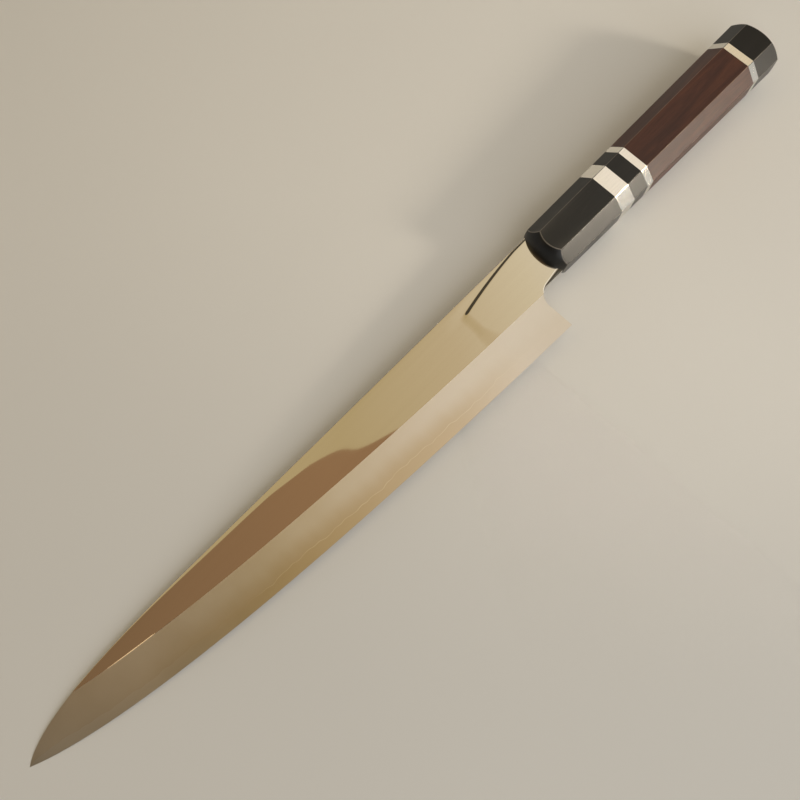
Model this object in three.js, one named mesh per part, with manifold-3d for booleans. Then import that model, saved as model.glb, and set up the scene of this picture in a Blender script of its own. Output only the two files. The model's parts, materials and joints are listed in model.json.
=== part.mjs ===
// Slicing knife with a laminated double-bevel blade and an octagonal handle, each piece a solid of its own.
// Millimetres. +X runs from the tip to the butt, +Y from the edge to the spine, +Z out of the left face.
// The knife lies level on its right side, with the origin under the middle of its bounding box.

import * as THREE from 'three';
import { mergeVertices } from 'three/addons/utils/BufferGeometryUtils.js';
import Module from 'manifold-3d';

const wasm = await Module();
wasm.setup();

// Blade outline
const bladeLength = 270; // heel corner to tip
const neckLength = 17.5; // ferrule rim to heel corner
const heelHeight = 40.6; // heel corner to spine
const spineAboveAxis = 10.6; // straight spine over the handle's axis
const tipDrop = 11.9; // spine line down to the tip
const tipCurveLength = 95; // stretch of spine that falls to the tip
const spineEase = 21; // how long the spine leaves its line gently
const tipSpineReach = 14; // control length of the spine at the tip
const tipSpineSlope = 0.89;
const edgeHeelReach = 60; // control length of the edge at the heel
const edgeHeelSlope = 0.029;
const edgeTipReach = 51.5; // control length of the edge at the tip
const edgeTipSlope = 0.428;
const neckBelowAxis = 11; // underside of the neck
const choilRadius = 6.3; // round between the neck and the heel's back
const choilUndercut = 0.7; // how far the round cuts in behind the heel corner

// Blade thickness
const spineThicknessHeel = 3.4;
const spineThicknessTip = 1.5;
const faceRelief = 0.004; // half thickness lost per millimetre down the flat face
const bevelHeight = 17.4; // edge up to the bevel's ridge
const edgeThickness = 0.2;
const coreThickness = 0.8; // hard steel between the two claddings
const neckThickness = 3.8;
const neckFlatLength = 40; // ferrule rim to the end of the thick neck
const neckRampLength = 7; // run-out of the neck into the blade's face

// Tang
const shoulderSetback = 1; // shoulder of the neck ahead of the ferrule rim
const tangLength = 70; // ferrule rim to the tang's end
const tangHeight = 9;
const tangThickness = 3;
const tangTaperLength = 10; // narrowed end
const tangEndHeight = 5;
const adhesiveThickness = 0.6; // bed of adhesive on each side of the tang

// Handle section, from the ferrule's rim to the crown of the butt
const frontHeight = 23.2;
const rearHeight = 26.1;
const frontThickness = 19.6;
const rearThickness = 21.25;
const frontCornerCut = 5.6; // legs of the octagon's corner cuts
const rearCornerCut = 6;

// Handle pieces, from front to rear
const ferruleLength = 33.5; // from the corners of its rim
const frontRingLength = 8;
const spacerLength = 8.5;
const middleRingLength = 3.5;
const bodyLength = 66.5;
const rearRingLength = 3.5;
const capLength = 16.7; // up to the crown of the butt
const noseLength = 6; // crown of the domed nose ahead of the ferrule's rim
const noseDome = 4.3; // crown of the nose to the middle of a side
const buttDome = 2.6; // crown of the butt to the middle of a side
const domePower = 3.2; // flatness of both domes

// Dowels
const frontDowelDiameter = 13;
const frontDowelStart = 9; // from the ferrule rim
const frontDowelWall = 7.5; // solid end behind the tang's slot
const rearDowelDiameter = 8;
const rearDowelInBody = 14;
const rearDowelInCap = 8;
const slotBeyondTang = 2; // free end of the tang's slot

// Clearances and steps
const clearance = 0.3; // around dowels, the neck and blind ends
const cutOvershoot = 1; // how far a cutter runs past what it cuts
const edgeOvershoot = 0.6; // wedge carried on below the edge
const ridgeMargin = 0.05; // least height of flat face kept over the ridge
const outlineSteps = 22; // points on each of the outline's curves
const boreSides = 24;
const domeSideSteps = 4; // parts of each side of a dome's rings
const domeScales = [1, 0.96, 0.88, 0.76, 0.58, 0.3]; // rings of a dome, as shares of its rim

// Places along the knife
const heelX = -neckLength;
const tipX = heelX - bladeLength;
const shoulderX = -shoulderSetback;
const spineY = spineAboveAxis;
const heelY = spineY - heelHeight;
const tipY = spineY - tipDrop;
const frontRingStart = ferruleLength;
const spacerStart = frontRingStart + frontRingLength;
const middleRingStart = spacerStart + spacerLength;
const bodyStart = middleRingStart + middleRingLength;
const rearRingStart = bodyStart + bodyLength;
const capStart = rearRingStart + rearRingLength;
const handleLength = capStart + capLength;
const slotEnd = tangLength + slotBeyondTang;
const frontDowelEnd = slotEnd + frontDowelWall;
const rearDowelStart = rearRingStart - rearDowelInBody;
const rearDowelEnd = capStart + rearDowelInCap;

const lerp = THREE.MathUtils.lerp;
const clamp = THREE.MathUtils.clamp;

// A solid that can be cut and joined, from a closed geometry.
function solidOf(geometry) {
  const bare = new THREE.BufferGeometry();
  bare.setAttribute('position', geometry.getAttribute('position'));
  bare.setIndex(geometry.index);
  const merged = mergeVertices(bare);
  const vertProperties = new Float32Array(merged.getAttribute('position').array);
  const triVerts = new Uint32Array(merged.index.array);
  return new wasm.Manifold(new wasm.Mesh({ numProp: 3, vertProperties, triVerts }));
}

// The geometry of a finished solid.
function geometryOf(solid) {
  const mesh = solid.getMesh();
  const geometry = new THREE.BufferGeometry();
  geometry.setAttribute('position', new THREE.BufferAttribute(mesh.vertProperties, 3));
  geometry.setIndex(new THREE.BufferAttribute(mesh.triVerts, 1));
  geometry.computeVertexNormals();
  return geometry;
}

// A box between two corners.
function box(low, high) {
  const geometry = new THREE.BoxGeometry(high[0] - low[0], high[1] - low[1], high[2] - low[2]);
  geometry.translate((low[0] + high[0]) / 2, (low[1] + high[1]) / 2, (low[2] + high[2]) / 2);
  return solidOf(geometry);
}

// A round rod along X.
function rod(diameter, from, to) {
  const geometry = new THREE.CylinderGeometry(diameter / 2, diameter / 2, to - from, boreSides);
  geometry.rotateZ(-Math.PI / 2);
  geometry.translate((from + to) / 2, 0, 0);
  return solidOf(geometry);
}

// A plate with the given outline, centred on the blade's middle plane.
function plate(shape, thickness) {
  const geometry = new THREE.ExtrudeGeometry(shape, {
    depth: thickness,
    curveSegments: outlineSteps,
    bevelEnabled: false,
  });
  geometry.translate(0, 0, -thickness / 2);
  return solidOf(geometry);
}

// A skin over rings of equal point counts, listed towards +X, each turning from +Y to +Z, with flat ends.
// The two halves of a ring have mirrored diagonals, so a symmetric section gives a symmetric solid.
function loft(rings) {
  const sides = rings[0].length;
  const last = (rings.length - 1) * sides;
  const triangles = [];
  for (let start = 0; start < last; start += sides) {
    for (let i = 0; i < sides; i++) {
      const a = start + i;
      const b = start + (i + 1) % sides;
      const [c, d] = i < sides / 2 ? [b, a + sides] : [a, b + sides];
      triangles.push(a, b, d, c, b + sides, a + sides);
    }
  }
  for (let i = 1; i + 1 < sides; i++) {
    triangles.push(0, i + 1, i);
    triangles.push(last, last + i, last + i + 1);
  }
  const geometry = new THREE.BufferGeometry();
  geometry.setAttribute('position', new THREE.Float32BufferAttribute(rings.flat(2), 3));
  geometry.setIndex(triangles);
  return solidOf(geometry);
}

function halfHeight(x) {
  return lerp(frontHeight, rearHeight, x / handleLength) / 2;
}

function halfThickness(x) {
  return lerp(frontThickness, rearThickness, x / handleLength) / 2;
}

// The handle's octagonal section at x, from the middle of its top side towards +Z. Its eight corners and
// the middles of its top and bottom are ten points, and each stretch between two of them has equal steps.
function octagon(x, steps = 1) {
  const h = halfHeight(x);
  const t = halfThickness(x);
  const cut = lerp(frontCornerCut, rearCornerCut, x / handleLength);
  const half = [[h, 0], [h, t - cut], [h - cut, t], [cut - h, t], [-h, t - cut]];
  const points = [...half, ...half.map(([y, z]) => [-y, -z])];
  const shares = Array.from({ length: steps }, (_, i) => i / steps);
  return points.flatMap(([y, z], i) => {
    const [nextY, nextZ] = points[(i + 1) % points.length];
    return shares.map((share) => [x, lerp(y, nextY, share), lerp(z, nextZ, share)]);
  });
}

// Rings of a dome that closes the handle, from its rim to its crown. Inward is the handle's side, +1 or -1.
// A point lies back from the crown by a power of its distance from the axis, so the rim is an arc on each side.
function dome(crownX, depth, inward) {
  const sideX = crownX + inward * depth;
  const rim = octagon(sideX, domeSideSteps).map(([, y, z], i) => {
    const distance = Math.hypot(y / halfHeight(sideX), z / halfThickness(sideX));
    return octagon(crownX + inward * depth * distance ** domePower, domeSideSteps)[i];
  });
  return domeScales.map((scale) => rim.map(([x, y, z]) => {
    return [lerp(crownX, x, scale ** domePower), scale * y, scale * z];
  }));
}

function handlePiece(from, to) {
  return loft([octagon(from), octagon(to)]);
}

// Bores that run the whole way through their pieces are cut past both faces.
function frontBore(from, to) {
  return rod(frontDowelDiameter + 2 * clearance, from, to);
}

function rearBore(from, to) {
  return rod(rearDowelDiameter + 2 * clearance, from, to);
}

// Slot for the tang and its bed of adhesive, up to the free end behind the tang.
function tangSlot(from) {
  const halfHeight = tangHeight / 2 + adhesiveThickness;
  const halfThickness = tangThickness / 2 + adhesiveThickness;
  return box([from, -halfHeight, -halfThickness], [slotEnd, halfHeight, halfThickness]);
}

const edgeCurve = new THREE.CubicBezierCurve(
  new THREE.Vector2(heelX, heelY),
  new THREE.Vector2(heelX - edgeHeelReach, heelY + edgeHeelReach * edgeHeelSlope),
  new THREE.Vector2(tipX + edgeTipReach, tipY - edgeTipReach * edgeTipSlope),
  new THREE.Vector2(tipX, tipY),
);
const edgePoints = edgeCurve.getPoints(outlineSteps).reverse();

// Height of the edge at x, held level past its two ends.
function edgeAt(x) {
  const next = edgePoints.findIndex((point) => point.x >= x);
  if (next === 0) return tipY;
  if (next < 0) return heelY;
  const a = edgePoints[next - 1];
  const b = edgePoints[next];
  return lerp(a.y, b.y, (x - a.x) / (b.x - a.x));
}

// Half thickness of the flat face: one plane that thins to the tip and the edge, swelling into the neck.
function faceHalf(x, y) {
  const distalTaper = (spineThicknessHeel - spineThicknessTip) / 2 / bladeLength;
  const plane = spineThicknessHeel / 2 - distalTaper * (heelX - x) - faceRelief * (spineY - y);
  const neckShare = clamp((x + neckFlatLength + neckRampLength) / neckRampLength, 0, 1);
  return lerp(plane, neckThickness / 2, neckShare);
}

// The blade's section at x: flat face, ridge and bevel on each side, a little taller than the outline.
function bladeSection(x) {
  const edgeY = edgeAt(x);
  const top = spineY + cutOvershoot;
  const ridgeY = edgeY + bevelHeight;
  const bevelSlope = (faceHalf(x, ridgeY) - edgeThickness / 2) / bevelHeight;
  const bevelHalf = (y) => edgeThickness / 2 + bevelSlope * (y - edgeY);
  const low = edgeY - edgeOvershoot;
  const middle = Math.min(ridgeY, top - ridgeMargin);
  const topHalf = Math.min(faceHalf(x, top), bevelHalf(top));
  const left = [[top, topHalf], [middle, bevelHalf(middle)], [low, bevelHalf(low)]];
  const right = left.map(([y, z]) => [y, -z]).reverse();
  return [...left, ...right].map(([y, z]) => [x, y, z]);
}

// The blade seen from the side: tip, spine, neck, choil, heel and edge.
function bladeOutline() {
  const choilX = heelX - choilUndercut;
  const choilTopX = choilX + choilRadius;
  const choilY = -neckBelowAxis - choilRadius;
  const bendX = tipX + tipCurveLength;
  const shape = new THREE.Shape();
  shape.moveTo(shoulderX, spineY);
  shape.lineTo(bendX, spineY);
  shape.bezierCurveTo(
    bendX - spineEase, spineY,
    tipX + tipSpineReach, tipY + tipSpineReach * tipSpineSlope,
    tipX, tipY,
  );
  for (const point of edgePoints.slice(1)) shape.lineTo(point.x, point.y);
  shape.lineTo(choilX, choilY);
  shape.absarc(choilTopX, choilY, choilRadius, Math.PI, Math.PI / 2, true);
  shape.lineTo(shoulderX, -neckBelowAxis);
  return shape;
}

function tangOutline() {
  const h = tangHeight / 2;
  const taperStart = tangLength - tangTaperLength;
  const shape = new THREE.Shape();
  shape.moveTo(shoulderX - cutOvershoot, -h);
  shape.lineTo(taperStart, -h);
  shape.lineTo(tangLength, -tangEndHeight / 2);
  shape.lineTo(tangLength, tangEndHeight / 2);
  shape.lineTo(taperStart, h);
  shape.lineTo(shoulderX - cutOvershoot, h);
  return shape;
}

// The forged billet, before it is parted into its three layers.
function billet() {
  const stations = edgePoints.map((point) => point.x);
  const ends = [tipX - cutOvershoot, shoulderX + cutOvershoot];
  const neckStations = [-neckFlatLength - neckRampLength, -neckFlatLength];
  const sections = [...stations, ...ends, ...neckStations].sort((a, b) => a - b).map(bladeSection);
  const blank = plate(bladeOutline(), 2 * neckThickness);
  return blank.intersect(loft(sections)).add(plate(tangOutline(), tangThickness));
}

// One layer of the billet between two heights.
function layer(solid, low, high) {
  const left = tipX - cutOvershoot;
  const right = tangLength + cutOvershoot;
  return solid.intersect(box([left, heelY - cutOvershoot, low], [right, spineY + cutOvershoot, high]));
}

function makeFerrule() {
  const nose = dome(-noseLength, noseDome, 1).reverse();
  const blank = loft([...nose, octagon(ferruleLength, domeSideSteps)]);
  const neckHalf = neckThickness / 2 + clearance;
  const neckSlot = box(
    [-noseLength - cutOvershoot, -neckBelowAxis - clearance, -neckHalf],
    [shoulderX + clearance, spineY + clearance, neckHalf],
  );
  const bore = frontBore(frontDowelStart - clearance, ferruleLength + cutOvershoot);
  return blank.subtract(neckSlot).subtract(tangSlot(shoulderX)).subtract(bore);
}

function makeBody() {
  const front = frontBore(bodyStart - cutOvershoot, frontDowelEnd + clearance);
  const rear = rearBore(rearDowelStart - clearance, rearRingStart + cutOvershoot);
  return handlePiece(bodyStart, rearRingStart).subtract(front).subtract(rear);
}

function makeCap() {
  const blank = loft([octagon(capStart, domeSideSteps), ...dome(handleLength, buttDome, -1)]);
  return blank.subtract(rearBore(capStart - cutOvershoot, rearDowelEnd + clearance));
}

// A handle piece that the front dowel passes right through.
function makeFrontWasher(from, to) {
  return handlePiece(from, to).subtract(frontBore(from - cutOvershoot, to + cutOvershoot));
}

function makeRearRing() {
  const bore = rearBore(rearRingStart - cutOvershoot, capStart + cutOvershoot);
  return handlePiece(rearRingStart, capStart).subtract(bore);
}

function makeFrontDowel() {
  return rod(frontDowelDiameter, frontDowelStart, frontDowelEnd).subtract(tangSlot(shoulderX));
}

// The bed that fills the slot around the parallel stretch of the tang.
function makeAdhesive() {
  const h = tangHeight / 2;
  const t = tangThickness / 2;
  const end = tangLength - tangTaperLength;
  const outer = box(
    [shoulderX, -h - adhesiveThickness, -t - adhesiveThickness],
    [end, h + adhesiveThickness, t + adhesiveThickness],
  );
  return outer.subtract(box([shoulderX - cutOvershoot, -h, -t], [end + cutOvershoot, h, t]));
}

function finish(color, roughness, metalness) {
  return new THREE.MeshStandardMaterial({ color, roughness, metalness });
}

const hardSteel = finish('#cdbca0', 0.3, 1);
const softSteel = finish('#b8a684', 0.2, 1);
const nickelSilver = finish('#ece2c9', 0.15, 1);
const horn = finish('#1a1715', 0.2, 0);
const rosewood = finish('#46291f', 0.3, 0);
const birch = finish('#c8a878', 0.7, 0);
const epoxy = finish('#1c1a17', 0.4, 0);

const knife = new THREE.Group();
const buttX = handleLength - buttDome * domeScales.at(-1) ** domePower;
const widestX = handleLength - buttDome; // where the taper ends, at the middle of each side
const middleX = (tipX + buttX) / 2;
const middleY = (heelY + halfHeight(widestX)) / 2;
knife.position.set(-middleX, -middleY, halfThickness(widestX));

function addPiece(name, solid, material) {
  const mesh = new THREE.Mesh(geometryOf(solid), material);
  mesh.name = name;
  knife.add(mesh);
}

const steel = billet();
const coreHalf = coreThickness / 2;
addPiece('core_steel', layer(steel, -coreHalf, coreHalf), hardSteel);
addPiece('cladding_left', layer(steel, coreHalf, neckThickness), softSteel);
addPiece('cladding_right', layer(steel, -neckThickness, -coreHalf), softSteel);
addPiece('tang_adhesive', makeAdhesive(), epoxy);
addPiece('ferrule', makeFerrule(), horn);
addPiece('front_ring', makeFrontWasher(frontRingStart, spacerStart), nickelSilver);
addPiece('spacer', makeFrontWasher(spacerStart, middleRingStart), horn);
addPiece('middle_ring', makeFrontWasher(middleRingStart, bodyStart), nickelSilver);
addPiece('handle_body', makeBody(), rosewood);
addPiece('rear_ring', makeRearRing(), nickelSilver);
addPiece('end_cap', makeCap(), horn);
addPiece('front_dowel', makeFrontDowel(), birch);
addPiece('rear_dowel', rod(rearDowelDiameter, rearDowelStart, rearDowelEnd), birch);

export default knife;
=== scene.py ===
# %% [markdown]
# # A laminated slicing knife
#
# A long slicing knife has three forged layers of steel in its blade and an
# octagonal handle built up from horn, metal rings and dark wood. The CAD model
# fixes every place and size. This script builds finer surfaces on that frame,
# gives them their finishes, and sets up a small studio around them.

# %% Load the frame
import json
import math

import bpy
import numpy as np
from mathutils import Matrix, Vector

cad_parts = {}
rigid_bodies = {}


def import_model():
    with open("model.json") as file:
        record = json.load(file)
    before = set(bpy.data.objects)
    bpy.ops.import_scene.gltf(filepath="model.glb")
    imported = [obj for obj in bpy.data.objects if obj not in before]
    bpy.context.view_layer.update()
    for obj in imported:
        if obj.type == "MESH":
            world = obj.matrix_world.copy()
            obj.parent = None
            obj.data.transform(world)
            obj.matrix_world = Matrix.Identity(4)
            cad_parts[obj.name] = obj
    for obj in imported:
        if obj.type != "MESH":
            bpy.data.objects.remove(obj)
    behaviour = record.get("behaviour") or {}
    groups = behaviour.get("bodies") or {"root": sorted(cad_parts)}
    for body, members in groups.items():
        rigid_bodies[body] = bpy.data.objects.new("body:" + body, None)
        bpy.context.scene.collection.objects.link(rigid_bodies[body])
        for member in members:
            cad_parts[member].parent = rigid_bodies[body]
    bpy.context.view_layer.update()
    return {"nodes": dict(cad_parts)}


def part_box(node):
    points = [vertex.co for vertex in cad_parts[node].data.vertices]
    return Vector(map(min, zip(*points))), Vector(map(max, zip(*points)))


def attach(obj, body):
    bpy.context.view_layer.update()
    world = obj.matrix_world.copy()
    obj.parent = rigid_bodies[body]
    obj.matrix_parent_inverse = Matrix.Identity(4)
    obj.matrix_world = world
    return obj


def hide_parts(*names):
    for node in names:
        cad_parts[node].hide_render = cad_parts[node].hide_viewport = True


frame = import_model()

# %% [markdown]
# A knife maker measures from the place where blade and handle meet. All sizes
# below are millimetres in such a shop frame: x runs from the ferrule's rim to
# the butt, y from the handle's axis up to the spine, and z out of the left face.
# One small function carries them into the frame, in metres. The shop frame's
# origin is read from the CAD nodes, so that nothing has to be fitted.

# %% The shop frame
FERRULE_LENGTH = 33.5

ferrule_low, ferrule_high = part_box("ferrule")
cap_low, cap_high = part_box("end_cap")
rim = np.array([
    ferrule_high.x - FERRULE_LENGTH / 1000,
    (cap_low.y + cap_high.y) / 2,
    (cap_low.z + cap_high.z) / 2,
])


def to_frame(x, y, z):
    """Shop millimetres to frame metres: divide by 1000 and add the rim's place."""
    return np.stack(np.broadcast_arrays(x, y, z), axis=-1) / 1000 + rim


def to_shop(points):
    """Frame metres back to shop millimetres, as x, y and z arrays."""
    return ((np.asarray(points) - rim) * 1000).T


NOSE_CROWN = float(to_shop(ferrule_low)[0])
BUTT_CROWN = float(to_shop(cap_high)[0])
print("ferrule rim in the frame:", np.round(rim, 5))
print("crowns of nose and butt:", round(NOSE_CROWN, 2), round(BUTT_CROWN, 2))

# %% [markdown]
# Every surface below is a grid of points, and its faces only say which four
# neighbours belong together. Three helpers do this for all pieces: one numbers
# the quads of a grid, one welds points that fall on the same place (at a pole or
# along a seam, where a quad then becomes a triangle), and one puts the arrays
# into a mesh. Turning the faces outwards is a matter of sign: the volume of a
# closed shell, summed over its faces, is negative if they point inwards.

# %% Grid helpers
WELD_PER_METRE = 2e7
WELD_SHIFT = 0.137


def grid_quads(rows, columns, around=False):
    """Corner numbers of a grid's quads. With around, the last column joins the first."""
    index = np.arange(rows * columns).reshape(rows, columns)
    if around:
        index = np.concatenate([index, index[:, :1]], axis=1)
    corners = [index[:-1, :-1], index[:-1, 1:], index[1:, 1:], index[1:, :-1]]
    return np.stack(corners, axis=-1).reshape(-1, 4)


def same_place(points, per_unit):
    """Sorts points into cells, so many to a unit of length. Returns the first point
    of each cell, and for each point the number of its cell."""
    keys = np.floor(points * per_unit + WELD_SHIFT).astype(np.int64)
    _, first, cell = np.unique(keys, axis=0, return_index=True, return_inverse=True)
    return first, cell.reshape(-1)


def weld(points, quads):
    """Points that round to the same place become one, and a quad that loses a
    corner becomes a triangle. Returns points, quads and triangles."""
    first, cell = same_place(points, WELD_PER_METRE)
    corners = cell[quads]
    repeated = corners == np.roll(corners, -1, axis=1)
    lost = repeated.sum(axis=1)
    triangles = corners[lost == 1][~repeated[lost == 1]].reshape(-1, 3)
    return points[first], corners[lost == 0], triangles


def signed_volume(points, quads, triangles):
    """A sixth of the sum of the triple products of all corners of all triangles."""
    halves = [quads[:, [0, 1, 2]], quads[:, [0, 2, 3]], triangles]
    a, b, c = np.moveaxis(points[np.concatenate(halves)], 1, 0)
    return float(np.einsum("ij,ij->i", a, np.cross(b, c)).sum() / 6)


def new_object(name, data):
    """An object with that name and data, put into the scene."""
    made = bpy.data.objects.new(name, data)
    bpy.context.scene.collection.objects.link(made)
    return made


def make_piece(name, points, quads, node, slot):
    """A welded, outward, smooth-shaded mesh object that rides on the body and stands for its CAD
    node. The slot argument is not used."""
    points, quads, triangles = weld(points, quads)
    centred = points - points.mean(axis=0)
    if signed_volume(centred, quads, triangles) < 0:
        quads, triangles = quads[:, ::-1], triangles[:, ::-1]
    mesh = bpy.data.meshes.new(name)
    mesh.from_pydata(points.tolist(), [], quads.tolist() + triangles.tolist())
    mesh.polygons.foreach_set("use_smooth", np.ones(len(mesh.polygons), bool))
    mesh.update()
    piece = new_object(name, mesh)
    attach(piece, "root")
    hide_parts(node)
    size = np.ptp(points, axis=0) * 1000
    print(name, "points", len(points), "faces", len(mesh.polygons), "mm", np.round(size, 2))
    return piece


def spread(knots, counts):
    """Numbers that run through the knots with so many equal steps between each
    pair. Knots may be arrays, one value per column."""
    spans = [
        low + (high - low) * np.linspace(0, 1, n, endpoint=False)[:, None]
        for low, high, n in zip(knots[:-1], knots[1:], counts)
    ]
    return np.concatenate(spans + [np.atleast_2d(knots[-1])])


# %% [markdown]
# ## Blade outline
#
# The edge sweeps in one long curve from the heel to the tip, and the spine is
# straight until it drops to the tip. Both are cubic Bezier curves, the tool with
# which such a template is drawn. The heel turns into the neck through a round
# cut, the choil, which is an arc.

# %% Outline curves
BLADE_LENGTH, NECK_LENGTH, HEEL_HEIGHT = 270.0, 17.5, 40.6
SPINE_Y, TIP_DROP, NECK_BOTTOM = 10.6, 11.9, -11.0
TIP_CURVE, SPINE_EASE, TIP_REACH, TIP_SLOPE = 95.0, 21.0, 14.0, 0.89
HEEL_REACH, HEEL_SLOPE, EDGE_TIP_REACH, EDGE_TIP_SLOPE = 60.0, 0.029, 51.5, 0.428
CHOIL_RADIUS, CHOIL_UNDERCUT, SHOULDER_X = 6.3, 0.7, -1.0
BEVEL_HEIGHT = 17.4
CURVE_STEPS = 4001

HEEL_X, TIP_X = -NECK_LENGTH, -NECK_LENGTH - BLADE_LENGTH
HEEL_Y, TIP_Y = SPINE_Y - HEEL_HEIGHT, SPINE_Y - TIP_DROP
BEND_X = TIP_X + TIP_CURVE


def bezier(a, b, c, d):
    """The cubic curve from a to d that leaves towards b and arrives from c."""
    t = np.linspace(0, 1, CURVE_STEPS)[:, None]
    a, b, c, d = map(np.array, (a, b, c, d))
    return (1 - t) ** 3 * a + 3 * (1 - t) ** 2 * t * b + 3 * (1 - t) * t**2 * c + t**3 * d


edge_curve = bezier(
    (TIP_X, TIP_Y),
    (TIP_X + EDGE_TIP_REACH, TIP_Y - EDGE_TIP_REACH * EDGE_TIP_SLOPE),
    (HEEL_X - HEEL_REACH, HEEL_Y + HEEL_REACH * HEEL_SLOPE),
    (HEEL_X, HEEL_Y),
)
tip_curve = bezier(
    (TIP_X, TIP_Y),
    (TIP_X + TIP_REACH, TIP_Y + TIP_REACH * TIP_SLOPE),
    (BEND_X - SPINE_EASE, SPINE_Y),
    (BEND_X, SPINE_Y),
)


def edge_y(x):
    """Height of the cutting edge at x, carried on straight past the heel."""
    past = np.maximum(x - HEEL_X, 0)
    return np.interp(x, *edge_curve.T) - HEEL_SLOPE * past


def spine_y(x):
    """Height of the spine at x: the tip curve, then straight to the ferrule."""
    return np.interp(x, *tip_curve.T)


def ridge_y(x):
    """The line where the flat meets the bevel keeps one distance from the edge."""
    return edge_y(x) + BEVEL_HEIGHT


search = np.linspace(TIP_X + TIP_REACH, BEND_X, CURVE_STEPS)
MEET_X = float(np.interp(0, spine_y(search) - ridge_y(search), search))
choil_centre = np.array([HEEL_X - CHOIL_UNDERCUT + CHOIL_RADIUS, NECK_BOTTOM - CHOIL_RADIUS])
turn = np.linspace(math.pi / 2, math.pi, CURVE_STEPS)
choil_arc = choil_centre + CHOIL_RADIUS * np.stack([np.cos(turn), np.sin(turn)], axis=1)
above = choil_arc[:, 1] - ridge_y(choil_arc[:, 0])
RIDGE_END_X = float(np.interp(0, above[::-1], choil_arc[::-1, 0]))
RIDGE_END_Y = float(ridge_y(RIDGE_END_X))
print("ridge meets spine at", round(MEET_X, 1), "and choil at", round(RIDGE_END_X, 1))

# %% [markdown]
# ## Blade thickness
#
# The flat thins a little towards the tip and the edge. It rolls over near the
# spine and carries slow lengthwise ripples, as hand polishing leaves it: they
# are hundredths of a millimetre, but a mirror shows them. The bevel runs straight
# from the ridge to the edge. The neck is left thicker: it stands proud of the flat
# as a tongue with a polished step along the spine, a shallow hollow at the foot of
# the step, and a soft end. One function of x and y gives half the thickness
# everywhere, so the whole face can be laid out on any grid.

# %% Thickness of the blade
HALF_HEEL, TIP_THINNING, EDGE_RELIEF = 1.7, 0.95 / 270, 0.004
NECK_HALF, EDGE_HALF, CORE_HALF = 1.9, 0.03, 0.4
ROLLS, ROLL_ROOM = ((4.9, 0.058), (2.2, 0.090)), 9.0
RIPPLE_SIZE, RIPPLE_LENGTH, RIPPLE_AT = 0.0063, 13.0, 2.0
RIDGE_EASE_WIDTH, RIDGE_EASE_DEPTH, RIDGE_EASE_ENDS = 0.4, 0.012, (-213.0, -197.0)
SPINE_ROUND = 0.3
STEP_AT_FERRULE, STEP_GROWTH, STEP_PLAIN = 0.75, 0.02, 0.7
STEP_LEAVES, STEP_BENDS, STEP_LEAST = 0.02, 0.0021, 0.45
TONGUE_END, TONGUE_SOFT, TONGUE_SPREAD = -46.5, 5.0, 0.65
TONGUE_CORNER_Y, TONGUE_ROUND = -4.5, 0.02
HOLLOW_DEPTH, HOLLOW_REACH, HOLLOW_GROWS, HOLLOW_ENDS = 0.12, 5.0, (-30.0, -8.0), (-58.0, -44.0)
CHAMFER_AT_FERRULE, CHAMFER_DEPTH, CHAMFER_FULL_X, CHAMFER_POWER = 1.9, 0.5, -4.0, 1.3
TINY, ON_LINE = 1e-6, 1e-9


def smooth(a, b, value):
    """0 below a, 1 above b, and an S curve between."""
    t = np.clip((value - a) / (b - a), 0, 1)
    return t * t * (3 - 2 * t)


def step_top(x):
    """Distance of the neck's step below the spine: it leaves the spine at the
    ferrule and drops away along a shallow parabola towards the tip."""
    away = np.clip(-x, 0, -TONGUE_END)
    return np.maximum(STEP_LEAVES * away + STEP_BENDS * away**2, STEP_LEAST)


def step_width(x):
    """The step widens evenly on its way towards the tip."""
    return STEP_AT_FERRULE + STEP_GROWTH * np.clip(-x, 0, -TONGUE_END)


def tongue(x, y):
    """1 on the raised neck and 0 on the flat. The step along the spine is mostly a
    plain slope with soft ends. The tongue's end is an S curve along the blade. Below
    a corner height it runs back along a parabola and grows softer."""
    up = (spine_y(x) - y - step_top(x)) / step_width(x)
    side = STEP_PLAIN * np.clip(up, 0, 1) + (1 - STEP_PLAIN) * smooth(0, 1, up)
    down = np.maximum(TONGUE_CORNER_Y - y, 0)
    past = (x - TONGUE_END - TONGUE_ROUND * down**2) / (TONGUE_SOFT + TONGUE_SPREAD * down)
    return side * smooth(-0.5, 0.5, past)


def hollow(x, y):
    """The flat sinks a little along the foot of the neck's step: an S curve on each
    side of it. The hollow deepens from the ferrule and runs out past the tongue."""
    off = np.abs(spine_y(x) - y - step_top(x))
    lengthwise = (1 - smooth(*HOLLOW_GROWS, x)) * smooth(*HOLLOW_ENDS, x)
    return HOLLOW_DEPTH * (1 - smooth(0, HOLLOW_REACH, off)) * lengthwise


def chamfer_width(x):
    """The neck's lower corner is eased, most at the ferrule and not at the choil."""
    return CHAMFER_AT_FERRULE * np.clip((x - RIDGE_END_X) / (CHAMFER_FULL_X - RIDGE_END_X), 0, 1)


def face_bottom(x):
    """Lower border of the face: the ridge, then the choil arc, then the neck."""
    arc = np.interp(x, choil_arc[::-1, 0], choil_arc[::-1, 1])
    return np.where(x < RIDGE_END_X, ridge_y(x), arc)


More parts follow.
